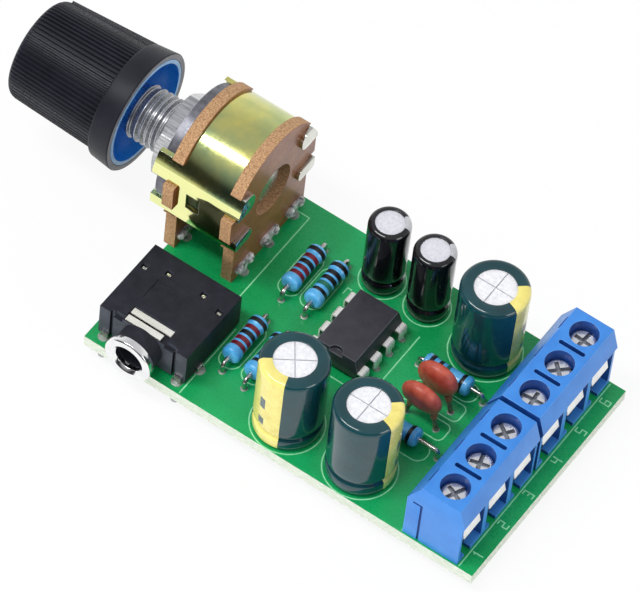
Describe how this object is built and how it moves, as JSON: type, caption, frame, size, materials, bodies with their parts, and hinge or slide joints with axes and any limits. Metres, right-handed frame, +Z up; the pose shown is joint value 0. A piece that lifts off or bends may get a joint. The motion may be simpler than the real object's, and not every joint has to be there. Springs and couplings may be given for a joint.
{
  "type": "audio amplifier board",
  "caption": "Small stereo audio amplifier board with a volume knob on a threaded control, a plug jack, screw terminals and through-hole parts soldered to a green circuit board.",
  "frame": {"origin": "Under the middle of the whole part, level with the clipped lead ends that it stands on.", "axes": "+X runs along the board towards the screw terminals, with the knob at -X; +Y points to the back, away from the jack's mouth; +Z is up."},
  "size_m": [0.0776, 0.0338, 0.0225],
  "materials": {
    "solder_mask": "green solder mask on glass fibre, glossy",
    "solder": "wetted solder, bright",
    "black_epoxy": "moulded epoxy, fine matt",
    "tin": "tinned copper, satin",
    "bung_rubber": "matt black rubber",
    "dipped_brown": "dipped coating, glossy",
    "jack_black": "moulded nylon, fine texture",
    "bright_ring": "nickel plated, turned",
    "terminal_blue": "moulded polyamide, semi-gloss",
    "cast_zinc": "die-cast zinc, dull",
    "phenolic": "phenolic paper laminate, matt",
    "plated_can": "yellow passivated zinc plate, satin",
    "nickel": "nickel plated steel",
    "shaft_aluminium": "turned aluminium",
    "ivory_plastic": "moulded acetal",
    "knob_black": "moulded plastic, soft sheen",
    "knob_blue": "moulded plastic, semi-gloss",
    "sleeve_teal": "shrink sleeve, glossy",
    "sleeve_black": "shrink sleeve, glossy",
    "can_aluminium": "drawn aluminium, satin",
    "resistor_blue": "painted ceramic with colour bands",
    "screw_zinc": "zinc plated steel",
    "guard_tin": "tinned sheet"
  },
  "bodies": {
    "board": {"circuit_board": "solder_mask", "solder_joints": "solder", "amplifier_chip": "black_epoxy", "chip_leads": "tin", "large_capacitor_1_sleeve": "sleeve_teal", "large_capacitor_2_sleeve": "sleeve_teal", "large_capacitor_3_sleeve": "sleeve_teal", "large_capacitor_1_can": "can_aluminium", "large_capacitor_2_can": "can_aluminium", "large_capacitor_3_can": "can_aluminium", "small_capacitor_1_sleeve": "sleeve_black", "small_capacitor_2_sleeve": "sleeve_black", "small_capacitor_1_can": "can_aluminium", "small_capacitor_2_can": "can_aluminium", "capacitor_bungs": "bung_rubber", "capacitor_leads": "tin", "resistor_1": "resistor_blue", "resistor_2": "resistor_blue", "resistor_3": "resistor_blue", "resistor_4": "resistor_blue", "resistor_5": "resistor_blue", "resistor_6": "resistor_blue", "resistor_leads": "tin", "ceramic_capacitor_1": "dipped_brown", "ceramic_capacitor_2": "dipped_brown", "ceramic_leads": "tin", "jack_housing": "jack_black", "jack_ring": "bright_ring", "jack_springs": "tin", "jack_contacts": "tin", "terminal_block_1": "terminal_blue", "terminal_block_2": "terminal_blue", "terminal_clamps": "tin", "pot_bushing": "cast_zinc", "pot_front_wafer": "phenolic", "pot_can": "plated_can", "pot_rear_wafer": "phenolic", "pot_nut": "nickel", "pot_washer": "nickel", "pot_terminals": "tin"},
    "volume_shaft": {"pot_shaft": "shaft_aluminium", "pot_front_rotor": "ivory_plastic", "pot_rear_rotor": "ivory_plastic", "knob_body": "knob_black", "knob_liner": "knob_blue"},
    "guard_1": {"wire_guard_1": "guard_tin"},
    "screw_1": {"terminal_screw_1": "screw_zinc"},
    "guard_2": {"wire_guard_2": "guard_tin"},
    "screw_2": {"terminal_screw_2": "screw_zinc"},
    "guard_3": {"wire_guard_3": "guard_tin"},
    "screw_3": {"terminal_screw_3": "screw_zinc"},
    "guard_4": {"wire_guard_4": "guard_tin"},
    "screw_4": {"terminal_screw_4": "screw_zinc"},
    "guard_5": {"wire_guard_5": "guard_tin"},
    "screw_5": {"terminal_screw_5": "screw_zinc"},
    "guard_6": {"wire_guard_6": "guard_tin"},
    "screw_6": {"terminal_screw_6": "screw_zinc"}
  },
  "joints": [
    {"name": "volume_turn", "type": "hinge", "parent": "board", "child": "volume_shaft", "pos_m": [-0.0306, 0.00835, 0.0138], "axis": [1, 0, 0], "range_deg": [-91, 209]},
    {"name": "guard_slide_1", "type": "slide", "parent": "board", "child": "guard_1", "axis": [0, 0, 1], "range_m": [-0.002, 0]},
    {"name": "screw_turn_1", "type": "hinge", "parent": "guard_1", "child": "screw_1", "pos_m": [0.03365, -0.01249, 0.0105], "axis": [0, 0, 1], "range_deg": [-1440, 0]},
    {"name": "guard_slide_2", "type": "slide", "parent": "board", "child": "guard_2", "axis": [0, 0, 1], "range_m": [-0.002, 0]},
    {"name": "screw_turn_2", "type": "hinge", "parent": "guard_2", "child": "screw_2", "pos_m": [0.03365, -0.00741, 0.0105], "axis": [0, 0, 1], "range_deg": [-1440, 0]},
    {"name": "guard_slide_3", "type": "slide", "parent": "board", "child": "guard_3", "axis": [0, 0, 1], "range_m": [-0.002, 0]},
    {"name": "screw_turn_3", "type": "hinge", "parent": "guard_3", "child": "screw_3", "pos_m": [0.03365, -0.00233, 0.0105], "axis": [0, 0, 1], "range_deg": [-1440, 0]},
    {"name": "guard_slide_4", "type": "slide", "parent": "board", "child": "guard_4", "axis": [0, 0, 1], "range_m": [-0.002, 0]},
    {"name": "screw_turn_4", "type": "hinge", "parent": "guard_4", "child": "screw_4", "pos_m": [0.03365, 0.00343, 0.0105], "axis": [0, 0, 1], "range_deg": [-1440, 0]},
    {"name": "guard_slide_5", "type": "slide", "parent": "board", "child": "guard_5", "axis": [0, 0, 1], "range_m": [-0.002, 0]},
    {"name": "screw_turn_5", "type": "hinge", "parent": "guard_5", "child": "screw_5", "pos_m": [0.03365, 0.00851, 0.0105], "axis": [0, 0, 1], "range_deg": [-1440, 0]},
    {"name": "guard_slide_6", "type": "slide", "parent": "board", "child": "guard_6", "axis": [0, 0, 1], "range_m": [-0.002, 0]},
    {"name": "screw_turn_6", "type": "hinge", "parent": "guard_6", "child": "screw_6", "pos_m": [0.03365, 0.01359, 0.0105], "axis": [0, 0, 1], "range_deg": [-1440, 0]}
  ],
  "couplings": [
    {"joint": "screw_turn_1", "follows": "guard_slide_1", "rad_per_m": 12566},
    {"joint": "screw_turn_2", "follows": "guard_slide_2", "rad_per_m": 12566},
    {"joint": "screw_turn_3", "follows": "guard_slide_3", "rad_per_m": 12566},
    {"joint": "screw_turn_4", "follows": "guard_slide_4", "rad_per_m": 12566},
    {"joint": "screw_turn_5", "follows": "guard_slide_5", "rad_per_m": 12566},
    {"joint": "screw_turn_6", "follows": "guard_slide_6", "rad_per_m": 12566}
  ]
}
